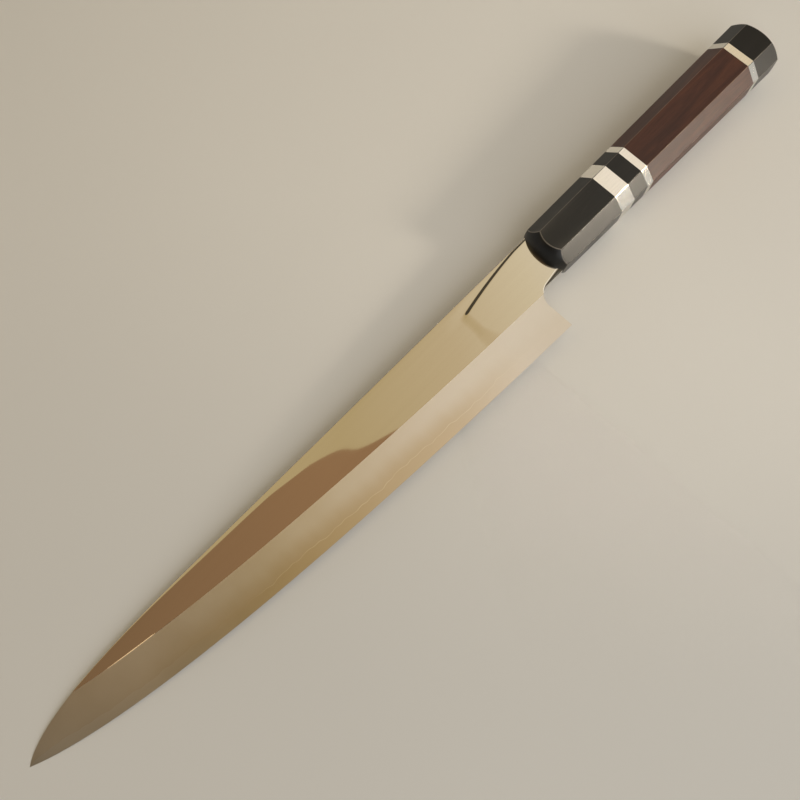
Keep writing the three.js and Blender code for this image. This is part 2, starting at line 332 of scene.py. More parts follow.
def face_half(x, y):
    """Half thickness of flat and neck: a leaning, faintly rippled plane, lifted on
    the tongue, and rolled over by two parabolas and then a round towards the spine.
    Near the tip a small parabola also eases the ridge. Rolls, round and ease run out
    where the flat ends."""
    plane = HALF_HEEL - TIP_THINNING * (HEEL_X - x) - EDGE_RELIEF * (SPINE_Y - y)
    ripple = RIPPLE_SIZE * np.sin((y - RIPPLE_AT) * 2 * math.pi / RIPPLE_LENGTH)
    room = np.clip((spine_y(x) - ridge_y(x)) / ROLL_ROOM, 0, 1)
    below = np.maximum(spine_y(x) - y, 0)
    roll = room * sum(depth * np.clip(1 - below / start, 0, 1) ** 2 for start, depth in ROLLS)
    ease = RIDGE_EASE_DEPTH * np.clip(1 - (y - ridge_y(x)) / RIDGE_EASE_WIDTH, 0, 1) ** 2
    ease = ease * room * (1 - smooth(*RIDGE_EASE_ENDS, x))
    neck = tongue(x, y)
    half = (plane + ripple - roll - hollow(x, y)) * (1 - neck) + NECK_HALF * neck - ease
    corner = np.clip(SPINE_ROUND - below, 0, SPINE_ROUND)
    half = half - room * (SPINE_ROUND - np.sqrt(SPINE_ROUND**2 - corner**2))
    width = chamfer_width(x)
    into = np.clip(1 - (y - face_bottom(x)) / np.maximum(width, TINY), 0, 1)
    return half - CHAMFER_DEPTH * width * into**CHAMFER_POWER


def blade_half(x, y):
    """Half thickness of the whole blade: the face above the ridge and a straight
    bevel below it, down to the edge."""
    at_ridge = face_half(x, ridge_y(x))
    bevel = EDGE_HALF + (at_ridge - EDGE_HALF) * (y - edge_y(x)) / BEVEL_HEIGHT
    on_bevel = (y < ridge_y(x) + ON_LINE) & (x < RIDGE_END_X + ON_LINE)
    return np.where(on_bevel, bevel, face_half(x, y))


sample_x, sample_y = np.array([-60.0, -150.0, -20.0]), np.array([9.0, 9.0, 0.0])
print("half thickness at heel, middle, neck:", np.round(blade_half(sample_x, sample_y), 2))

# %% [markdown]
# ## Lamination line
#
# The hard core comes to light along the edge, where the stones have cut through
# the softer layer that covers it. The border is a slightly wavy line, because the
# layers move under the hammer. A few sines of unrelated lengths make a wave that
# doesn't repeat. Behind the line, the joint between core and cladding dives into
# the blade and levels out at the core's half thickness.

# %% Lamination line and layers
LINE_FROM_EDGE, LINE_TIP_SHARE, JOINT_REACH, CORE_SHARE = 4.4, 0.5, 2.0, 0.6
LINE_WAVES = (
    (0.30, 9.0, 0.4), (0.24, 4.3, 1.9), (0.24, 2.3, 0.7), (0.21, 1.1, 2.6), (0.09, 0.7, 1.2),
)


def line_y(x):
    """Height of the lamination line: a wavy distance from the edge, which shrinks
    to a share of the blade's height near the tip."""
    wave = sum(size * np.sin(x / length + start) for size, length, start in LINE_WAVES)
    room = LINE_TIP_SHARE * (spine_y(x) - edge_y(x))
    wanted = LINE_FROM_EDGE + wave
    return edge_y(x) + wanted * room / np.sqrt(wanted**2 + room**2 + 1e-12)


def core_half(x, y):
    """Half thickness of the core: the blade's own below the line. Above it, a share
    of the blade's that falls off exponentially from all of it to the core's own
    thickness, or to a fixed share where the blade is too thin for that."""
    whole = blade_half(x, y)
    own = np.minimum(CORE_HALF / np.maximum(whole, TINY), CORE_SHARE)
    fade = np.exp(-np.maximum(y - line_y(x), 0) / JOINT_REACH)
    return whole * (own + (1 - own) * fade)


sample_x = np.linspace(-260, -30, 12)
print("line above edge:", np.round(line_y(sample_x) - edge_y(sample_x), 2))

# %% [markdown]
# ## Blade grids
#
# Two grids cover a face. The first lies between spine and ridge and goes on into
# the neck; its rows follow the spine's round, the neck's step and the eased
# corner, so that these come out crisp without a fine mesh everywhere. The second
# lies between ridge and edge; its rows follow the lamination line, and its last
# columns bend to the choil and the heel. The two share their points on the ridge.

# %% Rows and columns of the blade
TIP_COLUMNS, FLAT_STEP, NECK_STEP, STRIP_COLUMNS = 44, 1.1, 0.45, 8
NECK_GRID_X, STRIP_X = -62.0, -23.0
RIDGE_SUPPORT, LINE_SUPPORT = 0.12, 0.18
TIP_CROWDING, FULL_HEIGHT = 1.4, 14.0
ROUND_SHARE, ROLL_SHARE, ROLL_ZONE = 0.6, 0.9, 2.0
FACE_STEPS, BEVEL_STEPS = (5, 5, 10, 12, 36, 5), (1, 14, 1, 1, 6)
LINE_ROW = sum(BEVEL_STEPS[:3])


def steps_between(low, high, step):
    """Numbers from low up to but without high, about a step apart."""
    return np.linspace(low, high, max(2, int(round((high - low) / step))), endpoint=False)


tip_x = TIP_X + (MEET_X - TIP_X) * np.linspace(0, 1, TIP_COLUMNS, endpoint=False) ** TIP_CROWDING
flat_x = np.concatenate([
    steps_between(MEET_X, NECK_GRID_X, FLAT_STEP),
    steps_between(NECK_GRID_X, STRIP_X, NECK_STEP),
])
strip = np.linspace(0, 1, STRIP_COLUMNS)
strip_x = STRIP_X + (RIDGE_END_X - STRIP_X) * strip
neck_x = np.append(steps_between(RIDGE_END_X, SHOULDER_X, NECK_STEP)[1:], SHOULDER_X)
face_x = np.concatenate([flat_x, strip_x, neck_x])

height = spine_y(face_x) - face_bottom(face_x)
shrink = np.clip(height / FULL_HEIGHT, 0, 1)
step = step_top(face_x)
lower_zone = np.maximum(chamfer_width(face_x), RIDGE_SUPPORT)
face_rows = spread(
    [
        0 * height,
        np.minimum(SPINE_ROUND, ROUND_SHARE * step) * shrink,
        np.minimum(ROLL_ZONE, ROLL_SHARE * step) * shrink,
        step * shrink,
        (step + step_width(face_x)) * shrink,
        height - lower_zone * shrink,
        height,
    ],
    FACE_STEPS,
)
face_grid_x = np.broadcast_to(face_x, face_rows.shape)
face_grid_y = spine_y(face_x) - face_rows
face_grid_y[-1] = face_bottom(face_x)

bevel_x = np.concatenate([tip_x, flat_x, [STRIP_X]])
bevel_top = np.minimum(spine_y(bevel_x), ridge_y(bevel_x))
bevel_drop = bevel_top - edge_y(bevel_x)
bevel_line = bevel_top - line_y(bevel_x)
slim = np.clip(bevel_drop / BEVEL_HEIGHT, 0, 1)
bevel_rows = spread(
    [
        0 * bevel_drop,
        RIDGE_SUPPORT * slim,
        bevel_line - LINE_SUPPORT * slim,
        bevel_line,
        bevel_line + LINE_SUPPORT * slim,
        bevel_drop,
    ],
    BEVEL_STEPS,
)
print("face grid", face_rows.shape, "bevel grid", bevel_rows.shape)

# %% [markdown]
# The last columns of the bevel end on the choil and on the straight wall down to
# the heel. Each of them is a blend between the column before and that wall, which
# keeps the grid lines smooth where the outline turns.

# %% Bevel grid with its heel
bevel_main_y = bevel_top - bevel_rows
share_down = bevel_rows[:, -1] / bevel_rows[-1, -1]
wall_y = RIDGE_END_Y + (HEEL_Y - RIDGE_END_Y) * share_down
choil_low = choil_centre[1]
arc_x = choil_centre[0] - np.sqrt(np.maximum(CHOIL_RADIUS**2 - (wall_y - choil_low) ** 2, 0))
straight = np.clip((choil_low - wall_y) / (choil_low - HEEL_Y), 0, 1)
line_x = HEEL_X - CHOIL_UNDERCUT * (1 - straight)
wall_x = np.where(wall_y > choil_low, arc_x, line_x)
blend = strip[1:]
strip_grid_x = STRIP_X + (wall_x[:, None] - STRIP_X) * blend
strip_grid_y = bevel_main_y[:, -1:] + (wall_y[:, None] - bevel_main_y[:, -1:]) * blend
bevel_grid_x = np.concatenate([np.broadcast_to(bevel_x, bevel_rows.shape), strip_grid_x], axis=1)
bevel_grid_y = np.concatenate([bevel_main_y, strip_grid_y], axis=1)
bevel_grid_y[0, len(tip_x):] = ridge_y(bevel_grid_x[0, len(tip_x):])
bevel_grid_y[LINE_ROW] = line_y(bevel_grid_x[LINE_ROW])
print("heel corner", np.round([bevel_grid_x[-1, -1], bevel_grid_y[-1, -1]], 2))

# %% [markdown]
# ## Steel layers
#
# Each layer is a plate: a top sheet and a bottom sheet over the same grid, closed
# by a wall along every open border. The cladding lies between blade surface and
# joint, and ends in a knife edge on the lamination line; the core fills what is
# left. The right cladding is the left one mirrored. The tang runs on behind the
# shoulder as a plain tapered bar in each layer, as it is forged.

# %% Plates from sheets
TANG_END, TANG_TAPER, TANG_HALF_HEIGHT, TANG_END_HALF, TANG_HALF = 70.0, 60.0, 4.5, 2.5, 1.5
TANG_OVERLAP, SHEET_PER_MM = 0.5, 1e5


def plate(x, y, top, bottom, quads):
    """Closes two sheets over the same points. An edge that only one quad uses, in
    one direction, is on the border and gets a wall. Returns points and quads."""
    points = np.concatenate([to_frame(x, y, top), to_frame(x, y, bottom)])
    count = len(x)
    start = quads.reshape(-1)
    end = np.roll(quads, -1, axis=1).reshape(-1)
    border = ~np.isin(start * count + end, end * count + start)
    a, b = start[border], end[border]
    wall = np.stack([b, a, a + count, b + count], axis=1)
    return points, np.concatenate([quads, quads[:, ::-1] + count, wall])


def sheet(*grids):
    """Several grids as one sheet: their points in a row, shared ones welded."""
    x = np.concatenate([g[0].reshape(-1) for g in grids])
    y = np.concatenate([g[1].reshape(-1) for g in grids])
    starts = np.cumsum([0] + [g[0].size for g in grids[:-1]])
    quads = np.concatenate([grid_quads(*g[0].shape) + s for g, s in zip(grids, starts)])
    first, cell = same_place(np.stack([x, y], axis=1), SHEET_PER_MM)
    return x[first], y[first], cell[quads]


def with_tang(points, quads, low, high):
    """Adds the tang's bar between the heights low and high as a closed shell."""
    x = np.array([SHOULDER_X - TANG_OVERLAP, TANG_TAPER, TANG_END])
    half = np.array([TANG_HALF_HEIGHT, TANG_HALF_HEIGHT, TANG_END_HALF])
    grid_x, grid_y = np.stack([x, x]), np.stack([half, -half])
    bar, faces = plate(*[a.reshape(-1) for a in (grid_x, grid_y)], high, low, grid_quads(2, 3))
    return np.concatenate([points, bar]), np.concatenate([quads, faces + len(points)])


face_grid = (face_grid_x, face_grid_y)
upper_bevel = (bevel_grid_x[:LINE_ROW + 1], bevel_grid_y[:LINE_ROW + 1])
clad_x, clad_y, clad_quads = sheet(face_grid, upper_bevel)
clad_top, clad_joint = blade_half(clad_x, clad_y), core_half(clad_x, clad_y)
left_points, left_quads = with_tang(
    *plate(clad_x, clad_y, clad_top, clad_joint, clad_quads), CORE_HALF, TANG_HALF)
right_points = left_points * [1, 1, -1] + [0, 0, 2 * rim[2]]
core_x, core_y, core_quads = sheet(face_grid, (bevel_grid_x, bevel_grid_y))
core_top = core_half(core_x, core_y)
core_points, all_core_quads = with_tang(
    *plate(core_x, core_y, core_top, -core_top, core_quads), -CORE_HALF, CORE_HALF)

cladding_left = make_piece(
    "steel_cladding_left", left_points, left_quads, "cladding_left", "soft_steel")
cladding_right = make_piece(
    "steel_cladding_right", right_points, left_quads, "cladding_right", "soft_steel")
core = make_piece("steel_core", core_points, all_core_quads, "core_steel", "hard_steel")

# %% [markdown]
# The finishes have to know where they are on the blade. One number at each point
# keeps the distance to the lamination line, and another how far the stones have
# changed the steel's tone there. Each face of the cladding is sorted into flat or
# bevel by its middle point, because the two are polished apart.

# %% Marks for the finishes
FLAT_FINISH, BEVEL_FINISH, OUTWARD = 0, 1, 0.7
TIP_FADE, HEEL_FADE, HEEL_SHARE = (-265.0, -175.0), (-90.0, -35.0), 0.2
CLADDING_TIP, CORE_TIP = (5.0, 1.0), (-1.0, 0.0)


def points_of(piece):
    """The piece's points in the shop frame, in millimetres: x, y and z."""
    co = np.empty(len(piece.data.vertices) * 3, np.float32)
    piece.data.vertices.foreach_get("co", co)
    return to_shop(co.reshape(-1, 3))


def store(piece, name, values):
    """Keeps one number for each point under a name."""
    kept = piece.data.attributes.new(name, "FLOAT", "POINT")
    kept.data.foreach_set("value", values.astype(np.float32))


def mark_line(piece, tip_level, tip_share):
    """Stores how far each point lies above the lamination line, in millimetres, and
    how much the stones have worked there, which is less at the heel. Towards the tip,
    where the line is polished out, both blend into values of the piece's own."""
    x, y, _ = points_of(piece)
    drawn = smooth(*TIP_FADE, x)
    store(piece, "above_line", (y - line_y(x)) * drawn + tip_level * (1 - drawn))
    heel = 1 - (1 - HEEL_SHARE) * smooth(*HEEL_FADE, x)
    store(piece, "worked", heel * (drawn + tip_share * (1 - drawn)))


def sort_faces(piece):
    """Faces below the ridge that look out of the blade take the bevel's finish."""
    count = len(piece.data.polygons)
    middle, normal = np.empty(count * 3, np.float32), np.empty(count * 3, np.float32)
    piece.data.polygons.foreach_get("center", middle)
    piece.data.polygons.foreach_get("normal", normal)
    x, y, _ = to_shop(middle.reshape(-1, 3))
    outward = np.abs(normal.reshape(-1, 3)[:, 2]) > OUTWARD
    on_bevel = outward & (y < ridge_y(x)) & (x < RIDGE_END_X)
    finish = np.where(on_bevel, BEVEL_FINISH, FLAT_FINISH).astype(np.int32)
    piece.data.polygons.foreach_set("material_index", finish)
    print(piece.name, "bevel faces", int(on_bevel.sum()), "of", count)


mark_line(core, *CORE_TIP)
for layer in (cladding_left, cladding_right):
    mark_line(layer, *CLADDING_TIP)
    sort_faces(layer)

# %% [markdown]
# ## Handle sections
#
# The handle is a tapered octagon, and horn, rings and wood are planed flush with
# each other. A section is eight corners; each is rounded a little, because a hand
# has to hold it and because only a rounded edge catches a line of light. Every
# section has the same number of points, so any two can be joined by a skin, and
# each point runs straight along the handle, so a facet stays flat.

# %% Octagonal sections
HANDLE_LENGTH = 140.2
FRONT_SIZE = np.array([11.6, 9.8, 5.6])
REAR_SIZE = np.array([13.05, 10.625, 6.0])
EDGE_ROUND, ARC_POINTS, SIDE_POINTS = 0.6, 5, 7

side_turn = np.radians(np.arange(8) * 45.0)
side_normal = np.stack([np.cos(side_turn), np.sin(side_turn)], axis=1)
arc_turn = side_turn[:, None] + np.radians(np.linspace(0, 45, ARC_POINTS))
side_share = np.arange(1, SIDE_POINTS + 1)[:, None] / (SIDE_POINTS + 1)


def octagon_corners(high, wide, cut):
    """The eight corners from half height, half thickness and corner cut."""
    quarter = np.array([[high, wide - cut], [high - cut, wide]])
    return np.concatenate([quarter, quarter[::-1] * [-1, 1], -quarter, quarter[::-1] * [1, -1]])


def rounded(corners):
    """Each corner becomes an arc about a point that lies a rounding radius inside
    both of its sides, and equal steps lead along the side to the next arc."""
    reach = EDGE_ROUND / (1 + math.cos(math.radians(45)))
    centres = corners - reach * (side_normal + np.roll(side_normal, -1, axis=0))
    arcs = centres[:, None] + EDGE_ROUND * np.stack([np.cos(arc_turn), np.sin(arc_turn)], axis=-1)
    ends, starts = arcs[:, -1:], np.roll(arcs[:, :1], -1, axis=0)
    return np.concatenate([arcs, ends + (starts - ends) * side_share], axis=1).reshape(-1, 2)


front_corners, rear_corners = octagon_corners(*FRONT_SIZE), octagon_corners(*REAR_SIZE)
front_points, rear_points = rounded(front_corners), rounded(rear_corners)
SECTION_POINTS = len(front_points)


def octagon(x):
    """The section at x, or each of its points at an x of its own."""
    share = np.broadcast_to(x, SECTION_POINTS) / HANDLE_LENGTH
    y, z = (front_points + (rear_points - front_points) * share[:, None]).T
    return to_frame(share * HANDLE_LENGTH, y, z)


def circle(x, radius):
    """A round section with a point opposite each point of the octagon."""
    y, z = to_shop(octagon(x))[1:]
    length = np.hypot(y, z)
    return to_frame(x, radius * y / length, radius * z / length)


def skin(*sections):
    """Joins sections, in order, by a closed skin around them."""
    rings = np.stack(sections)
    return rings.reshape(-1, 3), grid_quads(len(rings), SECTION_POINTS, around=True)


print("points in a section:", SECTION_POINTS)

# %% [markdown]
# ## Rings, spacer and wood
#
# Each of these is a length of the tapered octagon with a hole for the dowel that
# lines the handle up. A skin that goes along the outside, in at one end, back
# through the hole and out again closes on itself. Thin rows beside the ends keep
# the facets flat up to the joint.

# %% Ring and body pieces
FRONT_RING, SPACER, THIN_RING, BODY_LENGTH = 8.0, 8.5, 3.5, 66.5
FRONT_BORE, REAR_BORE = 6.8, 4.3
FRONT_DOWEL_END, REAR_DOWEL_START, REAR_DOWEL_END, BORE_GAP = 79.5, 106.0, 131.5, 0.3
END_ROW, POLE = 0.25, 0.0

joints = np.cumsum([FERRULE_LENGTH, FRONT_RING, SPACER, THIN_RING, BODY_LENGTH, THIN_RING])
ring_1, spacer_1, ring_2, body_1, ring_3, cap_1 = joints


def washer(name, start, end, bore, node, slot):
    """A length of handle with a hole right through."""
    outside = [octagon(x) for x in (start, start + END_ROW, end - END_ROW, end)]
    inside = [circle(end, bore), circle(start, bore)]
    return make_piece(name, *skin(*outside, *inside, octagon(start)), node, slot)


front_ring = washer("front_metal_ring", ring_1, spacer_1, FRONT_BORE, "front_ring", "nickel_silver")
spacer = washer("horn_spacer", spacer_1, ring_2, FRONT_BORE, "spacer", "horn")
middle_ring = washer("middle_metal_ring", ring_2, body_1, FRONT_BORE, "middle_ring", "nickel_silver")
rear_ring = washer("rear_metal_ring", ring_3, cap_1, REAR_BORE, "rear_ring", "nickel_silver")

front_floor, rear_floor = FRONT_DOWEL_END + BORE_GAP, REAR_DOWEL_START - BORE_GAP
body = make_piece("wood_body", *skin(
    circle(front_floor, POLE), circle(front_floor, FRONT_BORE), circle(body_1, FRONT_BORE),
    octagon(body_1), octagon(body_1 + END_ROW), octagon(ring_3 - END_ROW), octagon(ring_3),
    circle(ring_3, REAR_BORE), circle(rear_floor, REAR_BORE), circle(rear_floor, POLE),
), "handle_body", "dark_wood")

# %% [markdown]
# ## Ferrule and cap
#
# Both ends are horn, turned over into a smooth dome. A point of the dome lies back
# from the crown by a power of its distance from the axis, which gives a nearly flat
# middle and a quicker fall outwards. Where this smooth surface runs into the flat
# sides, the rim is an arc on each side. The ferrule also needs the slot
# that takes the neck, which is cut from the finished dome by a box. That is a
# Boolean, as a saw would do it: a grid can't follow a square notch in a dome.

# %% Domed horn pieces
NOSE_DOME, BUTT_DOME, DOME_POWER, DOME_ROWS = 4.3, 2.6, 3.2, 24
RIM_ROUND, RIM_SHARE, RIM_ROWS = 0.25, 0.98, 5
FERRULE_FLOOR, SLOT_GAP = 8.7, 0.15
NOSE, BUTT = (NOSE_CROWN, NOSE_DOME, 1), (BUTT_CROWN, BUTT_DOME, -1)

dome_shares = RIM_SHARE * np.sin(np.linspace(0, math.pi / 2, DOME_ROWS))


def dome_x(y, z, crown, depth, inward):
    """Where a dome's surface lies over y and z: back from its crown by its depth
    times a power of the distance from the axis, in half heights and thicknesses."""
    share = (crown + inward * depth) / HANDLE_LENGTH
    high, wide = (FRONT_SIZE + (REAR_SIZE - FRONT_SIZE) * share)[:2]
    return crown + inward * depth * np.hypot(y / high, z / wide) ** DOME_POWER


def dome(crown, depth, inward):
    """Sections from the crown out to the sides. The rim is where the dome meets the
    octagon, and a small parabola from dome to side rounds it off."""
    _, y, z = to_shop(octagon(crown + inward * depth))
    rim_x = dome_x(y, z, crown, depth, inward)
    corner, behind = octagon(rim_x), octagon(rim_x + inward * RIM_ROUND)
    x, y, z = to_shop(corner)
    rings = [to_frame(crown + (x - crown) * s**DOME_POWER, s * y, s * z) for s in dome_shares]
    steps = np.linspace(0, 1, RIM_ROWS)[1:]
    turned = [(1 - t) ** 2 * rings[-1] + 2 * t * (1 - t) * corner + t**2 * behind for t in steps]
    return rings + turned


ferrule = make_piece("horn_ferrule", *skin(
    *dome(*NOSE), octagon(ring_1 - END_ROW), octagon(ring_1),
    circle(ring_1, FRONT_BORE), circle(FERRULE_FLOOR, FRONT_BORE), circle(FERRULE_FLOOR, POLE),
), "ferrule", "horn")
cap_floor = REAR_DOWEL_END + BORE_GAP
end_cap = make_piece("horn_cap", *skin(
    circle(cap_floor, POLE), circle(cap_floor, REAR_BORE), circle(cap_1, REAR_BORE),
    octagon(cap_1), octagon(cap_1 + END_ROW), *dome(*BUTT)[::-1],
), "end_cap", "horn")

# %% Slot for the neck
SLOT_RUN_OUT = 2.0


def block(name, low, high):
    """A plain box between two corners, as a cutter."""
    x, y = (np.array([[a, b], [a, b]]) for a, b in zip(low[:2], high[:2]))
    quad = grid_quads(2, 2)[:, ::-1]
    points, quads = plate(x.reshape(-1), y.T.reshape(-1), high[2], low[2], quad)
    mesh = bpy.data.meshes.new(name)
    mesh.from_pydata(points.tolist(), [], quads.tolist())
    return new_object(name, mesh)


def cut(piece, cutter):
    """Takes the cutter out of the piece, keeps the result and drops the cutter."""
    saw = piece.modifiers.new("saw", "BOOLEAN")
    saw.object, saw.operation, saw.solver = cutter, "DIFFERENCE", "EXACT"
    bpy.context.view_layer.update()
    sawn = bpy.data.meshes.new_from_object(
        piece.evaluated_get(bpy.context.evaluated_depsgraph_get()))
    piece.modifiers.clear()
    piece.data = sawn
    bpy.data.objects.remove(cutter)
    print(piece.name, "faces after the cut:", len(sawn.polygons))


neck_room = NECK_HALF + SLOT_GAP
cut(ferrule, block(
    "neck_slot",
    (NOSE_CROWN - SLOT_RUN_OUT, NECK_BOTTOM - SLOT_GAP, -neck_room),
    (SHOULDER_X + SLOT_GAP, SPINE_Y + SLOT_GAP, neck_room),
))

# %% [markdown]
# Smooth shading averages the normals of the faces around a point. On a planed
# handle the wide facets should win over the narrow rounds, and a hard corner such
# as the slot's should stay hard. The Weighted Normal modifier does the first, and
# edges that turn by more than a set angle are marked sharp for the second.

# %% Shading of planed pieces
SHARP_TURN = math.radians(40)
planed = (ferrule, front_ring, spacer, middle_ring, body, rear_ring, end_cap)
for piece in planed:
    piece.data.set_sharp_from_angle(angle=SHARP_TURN)
    fair = piece.modifiers.new("fair", "WEIGHTED_NORMAL")
    fair.keep_sharp = True
for piece in (core, cladding_left, cladding_right):
    piece.data.set_sharp_from_angle(angle=SHARP_TURN)
print("planed pieces:", len(planed))

# %% [markdown]
# Creases and rims are where a hand and the last sanding rub most, so horn and wood go paler there in
# a line as thin as the round itself. That pale line is partly wear and partly a painted highlight:
# it also stands in for the light that a rounded crease or rim catches. The finishes read this from a
# vertex attribute, which is a plain distance: to the nearest crease line of the octagon, or to the
# rim where dome and side meet.

# %% Marks on worn edges and painted highlights
WEAR_AND_HIGHLIGHT_REACH, WEAR_AND_HIGHLIGHT_FADE = 0.25, 0.2


def mark_wear_and_highlight(piece, *end):
    """Stores 1 on a crease or a rim, falling to 0 a short way off. A point's distance
    to the rim is the larger of its distances to the side and to the dome."""
    x, y, z = points_of(piece)
    share = (x / HANDLE_LENGTH)[:, None, None]
    corners = front_corners + (rear_corners - front_corners) * share
    to_corner = corners - np.stack([y, z], axis=1)[:, None]
    distance = np.linalg.norm(to_corner, axis=2).min(axis=1)
    if end:
        to_side = np.abs((to_corner * side_normal).sum(axis=2)).min(axis=1)
        distance = np.minimum(distance, np.maximum(to_side, np.abs(x - dome_x(y, z, *end))))
    wear_and_highlight_share = np.clip((WEAR_AND_HIGHLIGHT_REACH - distance) / WEAR_AND_HIGHLIGHT_FADE, 0, 1)
    # The stored mark is partly wear and partly a painted highlight on the rounded crease or rim.
    store(piece, "edge", wear_and_highlight_share)
    print(piece.name, "points on worn edges:", int((wear_and_highlight_share > 0.5).sum()))


mark_wear_and_highlight(ferrule, *NOSE)
mark_wear_and_highlight(end_cap, *BUTT)
mark_wear_and_highlight(spacer)
mark_wear_and_highlight(body)

# %% [markdown]
# ## Shared grain
#
# Wood, horn and brushed metal all show streaks that run along the knife. One
# shader group makes them: it squeezes Object coordinates across the grain and
# gives out a broad streak and a fine one. Each finish places the group with its
# own lengths. Object coordinates are metres here, so a scale of 1000 is one
# cell per millimetre.

# %% Streak group


def wire(tree, kind, settings=None, **inputs):
    """Adds a node, sets its properties, and sets or links its inputs. An input's
    name is written with underscores for spaces, or i0, i1 for its number."""
    node = tree.nodes.new(kind)
    for name, value in (settings or {}).items():
        setattr(node, name, value)
    for name, value in inputs.items():
        numbered = name[0] == "i" and name[1:].isdigit()
        socket = node.inputs[int(name[1:]) if numbered else name.replace("_", " ")]
        if isinstance(value, bpy.types.NodeSocket):
            tree.links.new(value, socket)
        else:
            socket.default_value = value
    return node


def group_socket(tree, name, direction, kind="NodeSocketFloat", value=None):
    """One named socket on the outside of a group."""
    socket = tree.interface.new_socket(name=name, in_out=direction, socket_type=kind)
    if value is not None:
        socket.default_value = value


streaks = bpy.data.node_groups.new("lengthwise_streaks", "ShaderNodeTree")
group_socket(streaks, "Along", "INPUT", value=20.0)
group_socket(streaks, "Across", "INPUT", value=400.0)
group_socket(streaks, "Wander", "INPUT", value=0.5)
group_socket(streaks, "Broad", "OUTPUT")
group_socket(streaks, "Fine", "OUTPUT")
given = streaks.nodes.new("NodeGroupInput")
handed = streaks.nodes.new("NodeGroupOutput")
place = wire(streaks, "ShaderNodeTexCoord").outputs["Object"]
stretch = wire(streaks, "ShaderNodeCombineXYZ", X=given.outputs["Along"],
               Y=given.outputs["Across"], Z=given.outputs["Across"])
squeezed = wire(streaks, "ShaderNodeVectorMath", {"operation": "MULTIPLY"},
                i0=place, i1=stretch.outputs[0])
broad = wire(streaks, "ShaderNodeTexNoise", Vector=squeezed.outputs[0], Scale=1.0,
             Detail=4.0, Roughness=0.55, Distortion=given.outputs["Wander"])
finer = wire(streaks, "ShaderNodeVectorMath", {"operation": "MULTIPLY"},
             i0=squeezed.outputs[0], i1=(2.0, 6.0, 6.0))
fine = wire(streaks, "ShaderNodeTexNoise", Vector=finer.outputs[0], Scale=1.0,
            Detail=2.0, Roughness=0.6)
streaks.links.new(broad.outputs["Fac"], handed.inputs["Broad"])
streaks.links.new(fine.outputs["Fac"], handed.inputs["Fine"])
print("group", streaks.name, "nodes", len(streaks.nodes))

# %% Finish helpers
# How patchy the pale crease line is. The line is partly wear and partly a painted highlight.
WEAR_AND_HIGHLIGHT_CLOUDS, WEAR_AND_HIGHLIGHT_LEAST, WEAR_AND_HIGHLIGHT_MOST = 160.0, 0.3, 1.4


def new_finish(name):
    """An empty material: its tree and its Principled shader."""
    finish = bpy.data.materials.new(name)
    finish.use_nodes = True
    return finish, finish.node_tree, finish.node_tree.nodes["Principled BSDF"]


def add_streaks(tree, along, across, wander):
    """Places the streak group with this finish's own lengths."""
    node = tree.nodes.new("ShaderNodeGroup")
    node.node_tree = streaks
    for name, value in (("Along", along), ("Across", across), ("Wander", wander)):
        node.inputs[name].default_value = value
    return node.outputs["Broad"], node.outputs["Fine"]


def ramp(tree, factor, *stops):
    """A colour ramp through (place, colour) stops."""
    node = wire(tree, "ShaderNodeValToRGB", Fac=factor)
    elements = node.color_ramp.elements
    for number, (at, colour) in enumerate(stops):
        if number >= len(elements):
            elements.new(at)
        elements[number].position = at
        elements[number].color = (*colour, 1)
    return node.outputs["Color"]


def spanned(tree, factor, low, high):
    """Stretches a 0 to 1 pattern to the span from low to high."""
    return wire(tree, "ShaderNodeMapRange", Value=factor, To_Min=low, To_Max=high).outputs["Result"]


def dress(tree, shader, tone, roughness, **plain):
    """Links a tone and a pattern of roughness to the shader, and sets the values that
    are the same all over."""
    tree.links.new(tone, shader.inputs["Base Color"])
    tree.links.new(roughness, shader.inputs["Roughness"])
    for name, value in plain.items():
        shader.inputs[name].default_value = value


def relief(tree, shader, heights, strength, depth):
    """Bump of so many metres, on the shader's normal."""
    bump = wire(tree, "ShaderNodeBump", Height=heights, Strength=strength, Distance=depth)
    tree.links.new(bump.outputs["Normal"], shader.inputs["Normal"])


def clouds(tree, scale, detail=3.0):
    """Soft noise in Object coordinates, in cells per metre."""
    place = wire(tree, "ShaderNodeTexCoord").outputs["Object"]
    return wire(tree, "ShaderNodeTexNoise", Vector=place, Scale=scale, Detail=detail).outputs["Fac"]


def mark(tree, name):
    """Reads one of the marks that were stored on the points."""
    return wire(tree, "ShaderNodeAttribute", {"attribute_name": name}).outputs["Fac"]


def mixed(tree, share, colour, other, blend="MIX"):
    """Two colours, or a colour and a pattern, in a share that may vary."""
    node = wire(tree, "ShaderNodeMix", {"data_type": "RGBA", "blend_type": blend},
                i0=share, i6=colour, i7=other)
    return node.outputs[2]


def product(tree, one, other):
    """Two patterns or shares multiplied."""
    return wire(tree, "ShaderNodeMath", {"operation": "MULTIPLY"}, i0=one, i1=other).outputs[0]


def wear_and_painted_highlight(tree, colour, paler, most):
    """Lets a paler tone show on creases and rims, more in some places than others. The pale line is
    partly wear and partly a painted highlight where the round catches light.
    """
    patchy = spanned(tree, clouds(tree, WEAR_AND_HIGHLIGHT_CLOUDS), WEAR_AND_HIGHLIGHT_LEAST * most, WEAR_AND_HIGHLIGHT_MOST * most)
    return mixed(tree, product(tree, mark(tree, "edge"), patchy), colour, (*paler, 1))


# %% [markdown]
# ## Steel finishes
#
# The flat and the neck are polished to a mirror: almost no roughness, and only
# faint lengthwise lines from the last cloth. The bevel comes from soft stones,
# which leave a bright haze with slow clouds in it. The core takes a harder polish
# on the same stones, so its strip is a little clearer and warmer, with a thin
# pale seam where the two steels were welded.

# %% Mirror flat
SEAM_TONE = (0.88, 0.83, 0.72, 1)

